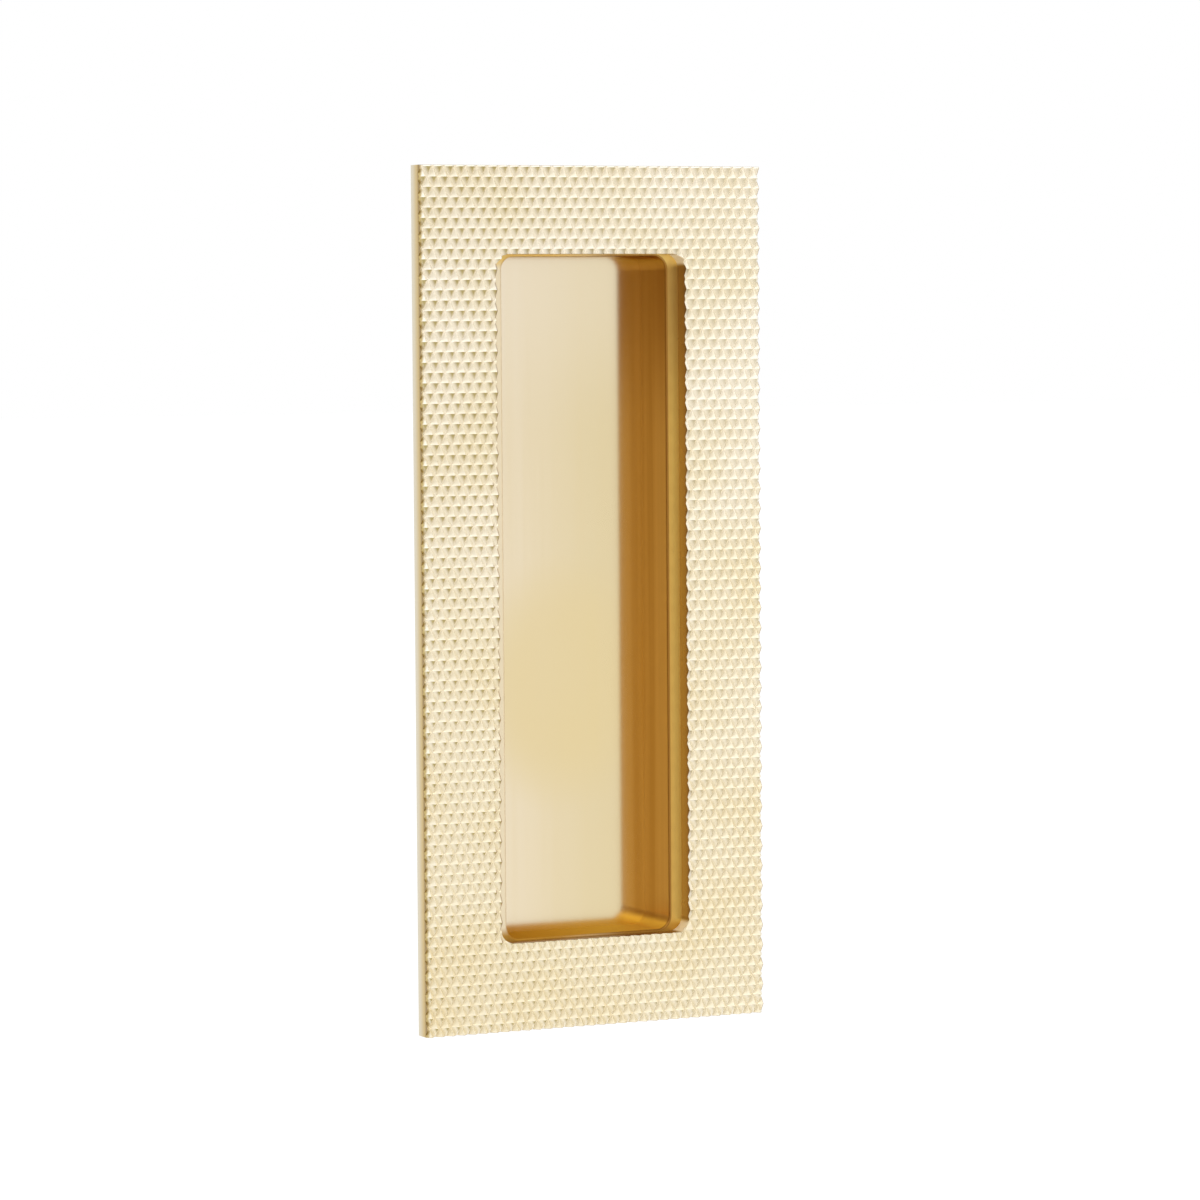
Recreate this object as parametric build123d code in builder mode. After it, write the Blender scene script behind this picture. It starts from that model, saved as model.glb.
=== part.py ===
"""Rectangular brass flush pull with a diamond-knurled face plate, for a sliding door.

The plate stands upright in the XZ plane. Its knurled front faces -Y, its flat rear lies on
the door at Y = 0, and the finger cup reaches back into the door along +Y.
The cup's flange is set into a shallow register in the plate's rear.
The origin is the centre of the plate's rear face. All sizes are in millimetres.
"""

import os
from math import ceil, hypot

from build123d import *

# Face plate
plate_width = 66.7
plate_height = 152.4
plate_thickness = 4.1
side_border = 14.75
end_border = 15.5
opening_radius = 2.6
register_depth = 0.3
register_clearance = 0.1
blind_hole_skin = 0.9

# Diamond knurl with a tip just above the plate's centre, cut by straight grooves that lean both ways
groove_spacing = 25.4 / 14
groove_lean = 30.4
groove_depth = 1.2
knurl_rise = 0.65

# Finger cup
side_ledge = 2.4
end_ledge = 0.4
cup_depth = 9.8
cup_wall = 1.5
cup_back = 1.5
cup_corner_radius = 2.4
cup_lip_radius = 0.3
cup_rear_fillet = 1.4
flange_thickness = 1.5
flange_overlap = 6.0
flange_corner_radius = 3.0

# Screws that hold the cup's flange to the plate
screw_diameter = 2.0
screw_head_diameter = 3.8
screw_head_height = 1.3
screw_head_edge = 0.35
screw_slot_width = 0.6
screw_slot_depth = 0.6
screw_end_inset = 16.7
screw_rows = 3
screw_clearance = 0.1

# Threaded posts for bolting through the door
post_diameter = 5.0
post_length = 9.0
post_thread_diameter = 3.0
post_edge = 0.4
post_clearance = 0.05

# Sizes that follow
opening_width = plate_width - 2 * side_border
opening_height = plate_height - 2 * end_border
cup_width = opening_width - 2 * side_ledge
cup_height = opening_height - 2 * end_ledge
cup_outer_width = cup_width + 2 * cup_wall
cup_outer_height = cup_height + 2 * cup_wall
flange_width = opening_width + 2 * flange_overlap
flange_height = opening_height + 2 * flange_overlap
register_width = flange_width + 2 * register_clearance
register_height = flange_height + 2 * register_clearance
slab_reach = hypot(plate_width, plate_height) / 2 + knurl_rise
post_sink = plate_thickness - groove_depth - blind_hole_skin
screw_hole_depth = post_sink - register_depth
screw_bite = screw_hole_depth - screw_clearance
screw_row_spacing = (flange_height - 2 * screw_end_inset) / (screw_rows - 1)
screw_column = (cup_outer_width + flange_width) / 4
post_offset = (flange_height + plate_height) / 4
screw_places = GridLocations(2 * screw_column, screw_row_spacing, 2, screw_rows).locations
post_places = [(0, post_offset), (0, -post_offset)]

# Sketches on these planes have Y upright, and grow into the door
door_face = Plane(origin=(0, 0, 0), x_dir=(-1, 0, 0), z_dir=(0, 1, 0))
flange_seat = door_face.offset(-register_depth)
head_seat = flange_seat.offset(flange_thickness)


def groove_section(lean):
    """Plane square to the grooves that lean this many degrees, with its Y into the door."""
    return Plane.XY.offset(knurl_rise).rotated((0, lean, 0))


def ridge_points():
    """Outline of a plate cut across its grooves: tips and valleys in front, flat behind."""
    count = ceil(slab_reach / groove_spacing)
    end = (count + 0.5) * groove_spacing
    tip = -plate_thickness
    valley = groove_depth - plate_thickness
    points = [(-end, 0)]
    for step in range(-count, count + 1):
        points.append(((step - 0.5) * groove_spacing, valley))
        points.append((step * groove_spacing, tip))
    points.append((end, valley))
    points.append((end, 0))
    return points


os.makedirs("parts", exist_ok=True)

# Face plate: two grooved slabs that cross make the diamonds
with BuildPart() as face_plate:
    with BuildSketch(groove_section(groove_lean)):
        with BuildLine():
            Polyline(ridge_points(), close=True)
        make_face()
    extrude(amount=slab_reach, both=True)
    with BuildSketch(door_face):
        Rectangle(plate_width, plate_height)
        RectangleRounded(opening_width, opening_height, opening_radius, mode=Mode.SUBTRACT)
    extrude(amount=-plate_thickness, mode=Mode.INTERSECT)
    with BuildSketch(groove_section(-groove_lean)):
        with BuildLine():
            Polyline(ridge_points(), close=True)
        make_face()
    extrude(amount=slab_reach, both=True, mode=Mode.INTERSECT)
    with BuildSketch(door_face):
        RectangleRounded(register_width, register_height, flange_corner_radius + register_clearance)
    extrude(amount=-register_depth, mode=Mode.SUBTRACT)
    with BuildSketch(flange_seat):
        with Locations(screw_places):
            Circle(screw_diameter / 2 + screw_clearance / 2)
    extrude(amount=-screw_hole_depth, mode=Mode.SUBTRACT)
    with BuildSketch(door_face):
        with Locations(post_places):
            Circle(post_diameter / 2 + post_clearance / 2)
    extrude(amount=-post_sink, mode=Mode.SUBTRACT)
face_plate.part.label = "face_plate"
export_step(face_plate.part, "parts/face_plate.step")

# Finger cup: a plain pan with a flange that sits in the plate's register
with BuildPart() as pull_cup:
    with BuildSketch(flange_seat):
        RectangleRounded(flange_width, flange_height, flange_corner_radius)
    extrude(amount=flange_thickness)
    with BuildSketch(flange_seat):
        RectangleRounded(cup_outer_width, cup_outer_height, cup_corner_radius + cup_wall)
    extrude(amount=cup_depth + cup_back)
    rear_rim = pull_cup.faces().sort_by(Axis.Y)[-1].edges()
    fillet(rear_rim, radius=cup_rear_fillet)
    with BuildSketch(flange_seat):
        RectangleRounded(cup_width, cup_height, cup_corner_radius)
    extrude(amount=cup_depth, mode=Mode.SUBTRACT)
    mouth = pull_cup.faces().sort_by(Axis.Y)[0].inner_wires().edges()
    fillet(mouth, radius=cup_lip_radius)
    with BuildSketch(flange_seat):
        with Locations(screw_places):
            Circle(screw_diameter / 2 + screw_clearance / 2)
    extrude(amount=flange_thickness, mode=Mode.SUBTRACT)
pull_cup.part.label = "pull_cup"
export_step(pull_cup.part, "parts/pull_cup.step")

# Cup screws: slotted pan heads that seat on the back of the flange
with BuildPart() as cup_screws:
    with BuildSketch(head_seat):
        with Locations(screw_places):
            Circle(screw_head_diameter / 2)
    extrude(amount=screw_head_height)
    head_rims = cup_screws.faces().filter_by(Plane.XZ).group_by(Axis.Y)[-1].edges()
    fillet(head_rims, radius=screw_head_edge)
    with BuildSketch(head_seat):
        with Locations(screw_places):
            Circle(screw_diameter / 2)
    extrude(amount=-flange_thickness - screw_bite)
    with BuildSketch(head_seat.offset(screw_head_height - screw_slot_depth)):
        with Locations(screw_places):
            Rectangle(screw_head_diameter, screw_slot_width)
    extrude(amount=screw_slot_depth, mode=Mode.SUBTRACT)
cup_screws.part.label = "cup_screws"
export_step(cup_screws.part, "parts/cup_screws.step")

# Fixing posts: pillars sunk in the plate and tapped down to its rear face
with BuildPart() as fixing_posts:
    with BuildSketch(door_face.offset(-post_sink)):
        with Locations(post_places):
            Circle(post_diameter / 2)
    extrude(amount=post_sink + post_length)
    post_rims = fixing_posts.faces().filter_by(Plane.XZ).group_by(Axis.Y)[-1].edges()
    chamfer(post_rims, length=post_edge)
    with BuildSketch(door_face):
        with Locations(post_places):
            Circle(post_thread_diameter / 2)
    extrude(amount=post_length, mode=Mode.SUBTRACT)
fixing_posts.part.label = "fixing_posts"
export_step(fixing_posts.part, "parts/fixing_posts.step")
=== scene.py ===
"""Looks of a knurled brass flush pull: finishes, light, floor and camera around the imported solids."""

from math import cos, pi, radians

import bpy
from mathutils import Matrix, Vector


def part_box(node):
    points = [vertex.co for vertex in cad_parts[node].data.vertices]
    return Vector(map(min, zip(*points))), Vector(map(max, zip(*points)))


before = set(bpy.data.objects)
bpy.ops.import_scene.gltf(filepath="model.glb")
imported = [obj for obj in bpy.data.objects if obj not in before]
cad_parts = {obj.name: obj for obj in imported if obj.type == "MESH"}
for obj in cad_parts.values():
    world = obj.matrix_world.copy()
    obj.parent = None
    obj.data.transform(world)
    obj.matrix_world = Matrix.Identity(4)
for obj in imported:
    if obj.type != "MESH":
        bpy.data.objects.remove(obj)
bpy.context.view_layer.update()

MM = 0.001
WHITE = (1.0, 1.0, 1.0, 1.0)

# Camera, solved from the plate's edges in the photograph
CAMERA_PLACE = Vector((-0.3972, -0.8052, 0.0508))
CAMERA_YAW = radians(26.417)
CAMERA_PITCH = radians(3.280)
CAMERA_ROLL = radians(-0.414)
SENSOR_WIDTH = 36.0
FOCAL_PIXELS = 5060.0
PHOTO_WIDTH = 1200.0

# Studio: a bright room with a dark side behind the camera, and a soft lamp up on the left
ROOM_LIGHT = WHITE
DARK_SIDE_LIGHT = (0.55, 0.44, 0.30, 1.0)
DARK_SIDE = Vector((-0.44, -0.895, 0.05)).normalized()
DARK_SIDE_CORE = radians(8)
DARK_SIDE_EDGE = radians(32)
LAMP_PLACE = Vector((-0.54, -0.66, 0.84))
LAMP_SIZE = 0.6
LAMP_LIGHT = 2.7

# Floor, well below the plate, with a little glow of its own where it is seen
FLOOR_DROP = 0.22
FLOOR_SPAN = 30.0
FLOOR_GREY = (0.8, 0.8, 0.8, 1.0)
FLOOR_GLOW = 0.26

# Borders, ledges, radii and depths, as in the part's source
SIDE_BORDER = 14.75 * MM
END_BORDER = 15.5 * MM
OPENING_RADIUS = 2.6 * MM
KNURL_DEPTH = 1.2 * MM
SIDE_LEDGE = 2.4 * MM
END_LEDGE = 0.4 * MM
CUP_RADIUS = 2.4 * MM
CUP_LIP = 0.3 * MM
CUP_BACK = 1.5 * MM

# Sizes worked out from the frame; a half is half the width and half the height
plate_low, plate_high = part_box("face_plate")
cup_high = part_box("pull_cup")[1]
opening_half = (plate_high.x - SIDE_BORDER, plate_high.z - END_BORDER)
cup_half = (opening_half[0] - SIDE_LEDGE, opening_half[1] - END_LEDGE)
cup_floor = cup_high.y - CUP_BACK

# Where one tone starts to fade into the next, and where it ends
SEAM_FADE = (0.02 * MM, 0.06 * MM)
NOTCH_FADE = (0.25 * MM, 0.7 * MM)
LEDGE_FADE = (CUP_LIP, 2.0 * MM)
LIP_FADE = (CUP_LIP / 3, CUP_LIP)
PALE_BAND_FADE = (0.9 * MM, 2.2 * MM)

# A warm patch and a pale band painted on the cup's floor as reflections
WARM_PATCH_HALF = (22.0 * MM, 25.0 * MM)
WARM_PATCH_HEIGHT = -16.0 * MM
PALE_BAND_PLACE = 13.6 * MM

# Depth of the fine grain, brushing and tool marks
BUMP_DEPTH = 0.02 * MM


class Field:
    """A shader value; Python operators on it add Math nodes."""

    def __init__(self, finish, socket):
        self.finish = finish
        self.socket = socket

    def math(self, operation, *values):
        return self.finish.node("ShaderNodeMath", {"operation": operation}, values)

    def __add__(self, other):
        return self.math("ADD", self, other)

    __radd__ = __add__

    def __sub__(self, other):
        return self.math("SUBTRACT", self, other)

    def __rsub__(self, other):
        return self.math("SUBTRACT", other, self)

    def __mul__(self, other):
        return self.math("MULTIPLY", self, other)

    __rmul__ = __mul__

    def __truediv__(self, other):
        return self.math("DIVIDE", self, other)

    def __pow__(self, other):
        return self.math("POWER", self, other)

    def __abs__(self):
        return self.math("ABSOLUTE", self)

    def at_most(self, other):
        return self.math("MINIMUM", self, other)

    def at_least(self, other):
        return self.math("MAXIMUM", self, other)

    def sine(self):
        return self.math("SINE", self)

    def rise(self, start, end):
        """0 below start, 1 above end, smooth between."""
        values = {"Value": self, "From Min": start, "From Max": end}
        return self.finish.node("ShaderNodeMapRange", {"interpolation_type": "SMOOTHSTEP"}, values)


class Finish:
    """One node tree, of a material or of the world, and the short calls that fill it."""

    def __init__(self, owner):
        owner.use_nodes = True
        self.owner = owner
        self.tree = owner.node_tree
        self.tree.nodes.clear()

    def node(self, kind, settings=None, sockets=None, output=0):
        """Adds a node, sets its settings, then its sockets, and returns one of its outputs."""
        made = self.tree.nodes.new(kind)
        for name, value in (settings or {}).items():
            setattr(made, name, value)
        sockets = sockets or {}
        pairs = sockets.items() if isinstance(sockets, dict) else enumerate(sockets)
        for name, value in pairs:
            if isinstance(value, Field):
                self.tree.links.new(value.socket, made.inputs[name])
            else:
                made.inputs[name].default_value = value
        return Field(self, made.outputs[output]) if made.outputs else None

    def split(self, vector):
        """The three parts of a vector."""
        return [self.node("ShaderNodeSeparateXYZ", None, [vector], axis) for axis in "XYZ"]

    def noise(self, coords, scale, detail=3.0, roughness=0.55, stretch=(1, 1, 1)):
        """Noise on the coordinates; a stretch under 1 draws it out along that axis."""
        mapped = self.node("ShaderNodeMapping", None, {"Vector": coords, "Scale": stretch})
        values = {"Vector": mapped, "Scale": scale, "Detail": detail, "Roughness": roughness}
        return self.node("ShaderNodeTexNoise", None, values)

    def mix(self, factor, first, second):
        """Colour between first and second."""
        return self.node("ShaderNodeMix", {"data_type": "RGBA"}, {0: factor, 6: first, 7: second}, 2)

    def bump(self, height, strength):
        values = {"Height": height, "Strength": strength, "Distance": BUMP_DEPTH}
        return self.node("ShaderNodeBump", None, values)

    def metal(self, colour, roughness, normal, glancing):
        """A bare metal surface as the material's result; glancing tints what it mirrors at a low angle."""
        values = {"Base Color": colour, "Roughness": roughness, "Metallic": 1.0, "Normal": normal}
        values["Specular Tint"] = glancing
        shader = self.node("ShaderNodeBsdfPrincipled", None, values)
        self.node("ShaderNodeOutputMaterial", None, {"Surface": shader})
        return self.owner


def rgb(red, green, blue):
    """Colour given in screen values 0 to 255, as linear light."""
    shares = [value / 255 for value in (red, green, blue)]
    linear = [((share + 0.055) / 1.055) ** 2.4 if share > 0.04045 else share / 12.92 for share in shares]
    return (*linear, 1.0)


def object_place(finish):
    """Object coordinates in metres, whole and as x, y and z."""
    coords = finish.node("ShaderNodeTexCoord", output="Object")
    return coords, *finish.split(coords)


def surface_facing(finish):
    """Which way the surface faces, as x, y and z."""
    return finish.split(finish.node("ShaderNodeNewGeometry", output="Normal"))


def outside_of(x, z, half, radius):
    """How far outside a round-cornered upright rectangle about the origin."""
    across = abs(x) - (half[0] - radius)
    along = abs(z) - (half[1] - radius)
    corner = (across.at_least(0.0) ** 2.0 + along.at_least(0.0) ** 2.0) ** 0.5
    return corner + across.at_least(along).at_most(0.0) - radius


def knurled_brass():
    """The face plate: a pale knurl with painted shade on its facets, brown cut walls with painted shade and
    corner glints, golden sides and a satin rear.
    """
    finish = Finish(bpy.data.materials.new("knurled_brass"))
    coords, x, y, z = object_place(finish)
    face_x, face_y, face_z = surface_facing(finish)
    mottle = finish.noise(coords, scale=45.0)
    grain = finish.noise(coords, scale=2600.0, detail=2.0)
    height = z.rise(plate_low.z, plate_high.z)
    valley = (y - plate_low.y) / KNURL_DEPTH

    # The knurl is pale, with painted light: paler up high, and a painted golden shade low down, most on the
    # facets that face up
    blotch = mottle.rise(0.35, 0.75)
    upper = finish.mix(blotch, rgb(254, 249, 239), rgb(250, 243, 225))
    lower = finish.mix(blotch, rgb(249, 243, 228), rgb(247, 238, 215))
    knurl = finish.mix(height, lower, upper)
    faces_up = face_z.rise(0.15, 0.35)
    knurl = finish.mix(0.4 * faces_up * (1 - height), knurl, rgb(238, 226, 192))

    # Facets that face down carry painted shade near their tips, more on the left, and deeper on the upper
    # rows
    faces_down = 1 - face_z.rise(-0.35, -0.15)
    faces_right = face_x.rise(0.0, 0.3)
    near_tip = 1 - valley.rise(0.05 + 0.15 * height, 0.6 + 0.45 * height)
    share = (1 - 0.15 * height - 0.3 * x / plate_high.x) * (1 - 0.2 * height * faces_right)
    facet_shade = faces_down * near_tip * share * mottle.rise(0.0, 0.5)
    knurl = finish.mix(facet_shade, knurl, rgb(180, 164, 113))

    # Along the left edge the notches between the teeth carry painted shade
    near_left = 1 - (x - plate_low.x).rise(*NOTCH_FADE)
    knurl = finish.mix(near_left * valley.rise(0.3, 0.65), knurl, rgb(194, 173, 118))

    # The opening's cut walls are a deep brown gold of painted shade, darkest at their toothed front edge,
    # with painted glints in the corners
    wall = 1 - outside_of(x, z, opening_half, OPENING_RADIUS).rise(*SEAM_FADE)
    tooth_shade = 1 - valley.rise(0.6, 1.5)
    # Painted glint where the cut walls turn the corners
    corner = abs(face_x * face_z).rise(0.1, 0.4)
    cut = finish.mix(tooth_shade, rgb(162, 128, 84), rgb(140, 114, 78))
    cut = finish.mix(corner, cut, rgb(254, 244, 218))
    colour = finish.mix(wall, knurl, cut)

    # The outer sides are smooth and golden, paler on the left, with painted shade between the teeth of the
    # knurl
    inset = (plate_high.x - abs(x)).at_most(plate_high.z - abs(z))
    side = 1 - inset.rise(*SEAM_FADE)
    edge = finish.mix(valley.rise(1.2, 3.2), rgb(210, 186, 132), rgb(222, 214, 194))
    edge = finish.mix(face_x.rise(-0.5, 0.0), edge, rgb(226, 204, 152))
    # Painted shade on the side faces at the teeth
    edge = finish.mix(tooth_shade, edge, rgb(160, 134, 88))
    colour = finish.mix(side, colour, edge)

    # The rear is plain satin brass
    satin = finish.mix(mottle.rise(0.3, 0.7), rgb(232, 210, 156), rgb(222, 197, 140))
    colour = finish.mix(face_y.rise(0.5, 0.8), colour, satin)

    roughness = 0.4 + 0.1 * mottle - 0.18 * wall + 0.5 * wall * corner
    return finish.metal(colour, roughness, finish.bump(grain, 0.12), WHITE)


def polished_brass():
    """The finger cup: a pale mirror floor, deep gold walls and a ledge with its lip, all with painted
    reflection and shade, and a drawn outside.
    """
    finish = Finish(bpy.data.materials.new("polished_brass"))
    coords, x, y, z = object_place(finish)
    _, face_y, face_z = surface_facing(finish)
    brushed = finish.noise(coords, scale=1500.0, detail=2.0, stretch=(1, 1, 0.03))
    streak = finish.noise(coords, scale=420.0, detail=2.0, stretch=(1, 1, 0.02))
    haze = finish.noise(coords, scale=26.0, stretch=(1, 1, 0.45))
    front = 1 - face_y.rise(-0.9, -0.6)
    height = z.rise(-cup_half[1], cup_half[1])
    top = z.rise(0.42 * cup_half[1], 0.93 * cup_half[1])
    past_mouth = outside_of(x, z, cup_half, CUP_RADIUS)

    # The walls' deep gold is painted reflection and shade: paler near the mouth, painted shade up high and
    # on the upper end, and a painted highlight on the lower end
    near_mouth = 1 - y.rise(0.0, 0.7 * cup_floor)
    upper_end = 1 - face_z.rise(-0.7, -0.1)
    lower_end = face_z.rise(0.1, 0.9) * (1 - front)
    wall = finish.mix(streak.rise(0.3, 0.7), rgb(202, 154, 88), rgb(186, 136, 72))
    wall = finish.mix(0.7 * near_mouth * (1 - top), wall, rgb(211, 168, 103))
    wall = finish.mix(top * (0.6 + 0.2 * near_mouth), wall, rgb(156, 105, 54))
    # Painted shade on the down-facing upper end
    wall = finish.mix(upper_end, wall, rgb(154, 108, 60))
    # Painted highlight on the lower end, brighter to the right
    bright = finish.mix(x.rise(-cup_half[0], cup_half[0]), rgb(200, 142, 36), rgb(238, 196, 84))
    wall = finish.mix(lower_end, wall, bright)

    # The outside is plain drawn brass
    beside = past_mouth.rise(CUP_LIP, CUP_LIP + 0.2 * MM)
    behind = y.rise(cup_floor + 0.1 * MM, cup_floor + 0.3 * MM)
    drawn = finish.mix(haze.rise(0.3, 0.7), rgb(228, 203, 145), rgb(220, 193, 132))
    drawn = finish.mix(0.4 * brushed.rise(0.4, 0.8), drawn, rgb(206, 178, 116))
    colour = finish.mix(beside.at_least(behind), wall, drawn)

    # The floor is a pale satin mirror with painted reflections: more golden to the right, paler up high, a
    # warm patch and a pale band
    mirror = finish.mix(x.rise(-cup_half[0], 0.6 * cup_half[0]), rgb(232, 217, 189), rgb(223, 206, 165))
    patch_x = x / WARM_PATCH_HALF[0]
    patch_z = (z - WARM_PATCH_HEIGHT) / WARM_PATCH_HALF[1]
    patch = 1 - (patch_x ** 2.0 + patch_z ** 2.0).rise(0.1, 1.0)
    mirror = finish.mix(patch * (0.4 + 0.8 * haze), mirror, rgb(225, 205, 156))
    mirror = finish.mix(0.25 * streak.rise(0.35, 0.75), mirror, rgb(224, 205, 162))
    mirror = finish.mix(0.3 * top, mirror, rgb(242, 230, 212))
    band = 1 - abs(x - PALE_BAND_PLACE).rise(*PALE_BAND_FADE)
    mirror = finish.mix(band * (0.7 + 0.3 * streak), mirror, rgb(232, 219, 186))
    floor = front * y.rise(cup_floor - 0.2 * MM, cup_floor - 0.05 * MM)
    colour = finish.mix(floor, colour, mirror)

    # The ledge's tones are painted reflection: pale on the left, golden on the right and at both ends, with
    # painted shade up high
    right = x.rise(-0.5 * cup_half[0], 0.5 * cup_half[0])
    end = abs(z).rise(cup_half[1] - CUP_RADIUS, cup_half[1] - 0.2 * CUP_RADIUS)
    gold = finish.mix(past_mouth.rise(*LEDGE_FADE), rgb(226, 182, 94), rgb(255, 226, 128))
    gold = finish.mix(0.6 * top, gold, rgb(170, 130, 72))
    ledge = finish.mix(right, rgb(232, 217, 186), gold)
    ledge_end = finish.mix(height, rgb(186, 140, 62), rgb(232, 198, 118))
    ledge = finish.mix(end, ledge, ledge_end)
    colour = finish.mix(front - floor, colour, ledge)

    # The lip's tones are painted reflection and shade: pale on the left with golden ends, and painted shade
    # on the right
    lip = (1 - abs(past_mouth - CUP_LIP / 2).rise(*LIP_FADE)) * (1 - y.rise(0.0, 0.4 * MM))
    rim = finish.mix(right, rgb(240, 226, 196), rgb(150, 104, 44))
    rim_end = finish.mix(height, rgb(206, 158, 66), rgb(236, 204, 126))
    rim = finish.mix(end * (1 - right), rim, rim_end)
    colour = finish.mix(0.9 * lip, colour, rim)

    dull = (lip * (1 - right)).at_least(lower_end)
    roughness = 0.3 - 0.17 * floor + 0.1 * (front - floor) + 0.03 * haze + 0.3 * dull
    return finish.metal(colour, roughness, finish.bump(brushed, 0.04), rgb(244, 222, 166))


def machined_brass(name, tone, rings):
    """Bright turned brass; rings is how many tool marks there are in a millimetre of depth."""
    finish = Finish(bpy.data.materials.new(name))
    coords, _, y, _ = object_place(finish)
    haze = finish.noise(coords, scale=160.0)
    marks = (y * (rings * 2 * pi / MM)).sine()
    colour = finish.mix(haze.rise(0.3, 0.75), rgb(*tone), rgb(*[0.88 * value for value in tone]))
    return finish.metal(colour, 0.26 + 0.12 * haze, finish.bump(marks + 2 * haze, 0.15), WHITE)


def dress(node, material):
    """Gives a CAD node one finish."""
    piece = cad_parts[node]
    piece.data.materials.clear()
    piece.data.materials.append(material)


def shows_white(finish, mirrored):
    """1 for the eye's rays and those through glass, which see plain white; mirrored for those off metal."""
    eye = finish.node("ShaderNodeLightPath", output="Is Camera Ray")
    glass = finish.node("ShaderNodeLightPath", output="Is Transmission Ray")
    metal = finish.node("ShaderNodeLightPath", output="Is Glossy Ray")
    return eye.at_least(glass).at_least(metal * mirrored)


def studio_world():
    """A bright room with a dark side; its backdrop is plain white to the eye, in glass and in metal."""
    world = bpy.data.worlds.new("studio")
    bpy.context.scene.world = world
    finish = Finish(world)
    toward = finish.node("ShaderNodeTexCoord", output="Generated")
    facing = finish.node("ShaderNodeVectorMath", {"operation": "DOT_PRODUCT"}, [toward, DARK_SIDE], "Value")
    dark = facing.rise(cos(DARK_SIDE_EDGE), cos(DARK_SIDE_CORE))
    room = finish.mix(dark, ROOM_LIGHT, DARK_SIDE_LIGHT)
    backdrop = finish.split(toward)[1].rise(0.0, 0.2)
    colour = finish.mix(shows_white(finish, backdrop), room, WHITE)
    light = finish.node("ShaderNodeBackground", None, {"Color": colour, "Strength": 1.0})
    finish.node("ShaderNodeOutputWorld", None, {"Surface": light})


def set_floor():
    bpy.ops.object.select_all(action="DESELECT")
    height = plate_low.z - FLOOR_DROP
    bpy.ops.mesh.primitive_plane_add(size=FLOOR_SPAN, location=(0, 0, height))
    floor = bpy.context.object
    floor.name = "floor"
    finish = Finish(bpy.data.materials.new("pale_floor"))
    lit = finish.node("ShaderNodeBsdfDiffuse", None, {"Color": FLOOR_GREY})
    glow = finish.node("ShaderNodeEmission", None, {"Color": WHITE, "Strength": FLOOR_GLOW})
    glowing = finish.node("ShaderNodeAddShader", None, [lit, glow])
    shader = finish.node("ShaderNodeMixShader", None, [shows_white(finish, 1.0), lit, glowing])
    finish.node("ShaderNodeOutputMaterial", None, {"Surface": shader})
    floor.data.materials.append(finish.owner)


def set_lamp():
    """A square soft lamp that points at the origin."""
    data = bpy.data.lights.new("soft_lamp", "AREA")
    data.size = LAMP_SIZE
    data.energy = LAMP_LIGHT * pi * LAMP_SIZE ** 2
    lamp = bpy.data.objects.new("soft_lamp", data)
    aim = (-LAMP_PLACE).to_track_quat("-Z", "Y")
    lamp.matrix_world = Matrix.Translation(LAMP_PLACE) @ aim.to_matrix().to_4x4()
    bpy.context.scene.collection.objects.link(lamp)


def set_camera():
    data = bpy.data.cameras.new("camera")
    data.sensor_fit = "HORIZONTAL"
    data.sensor_width = SENSOR_WIDTH
    data.lens = FOCAL_PIXELS / PHOTO_WIDTH * SENSOR_WIDTH
    camera = bpy.data.objects.new("camera", data)
    turn = Matrix.Rotation(-CAMERA_YAW, 4, "Z")
    tilt = Matrix.Rotation(pi / 2 - CAMERA_PITCH, 4, "X")
    roll = Matrix.Rotation(CAMERA_ROLL, 4, "Z")
    camera.matrix_world = Matrix.Translation(CAMERA_PLACE) @ turn @ tilt @ roll
    bpy.context.scene.collection.objects.link(camera)
    bpy.context.scene.camera = camera


dress("face_plate", knurled_brass())
dress("pull_cup", polished_brass())
dress("cup_screws", machined_brass("screw_brass", (226, 196, 132), 6))
dress("fixing_posts", machined_brass("turned_brass", (230, 202, 140), 4))
studio_world()
set_floor()
set_lamp()
set_camera()
bpy.context.scene.view_settings.view_transform = "Standard"
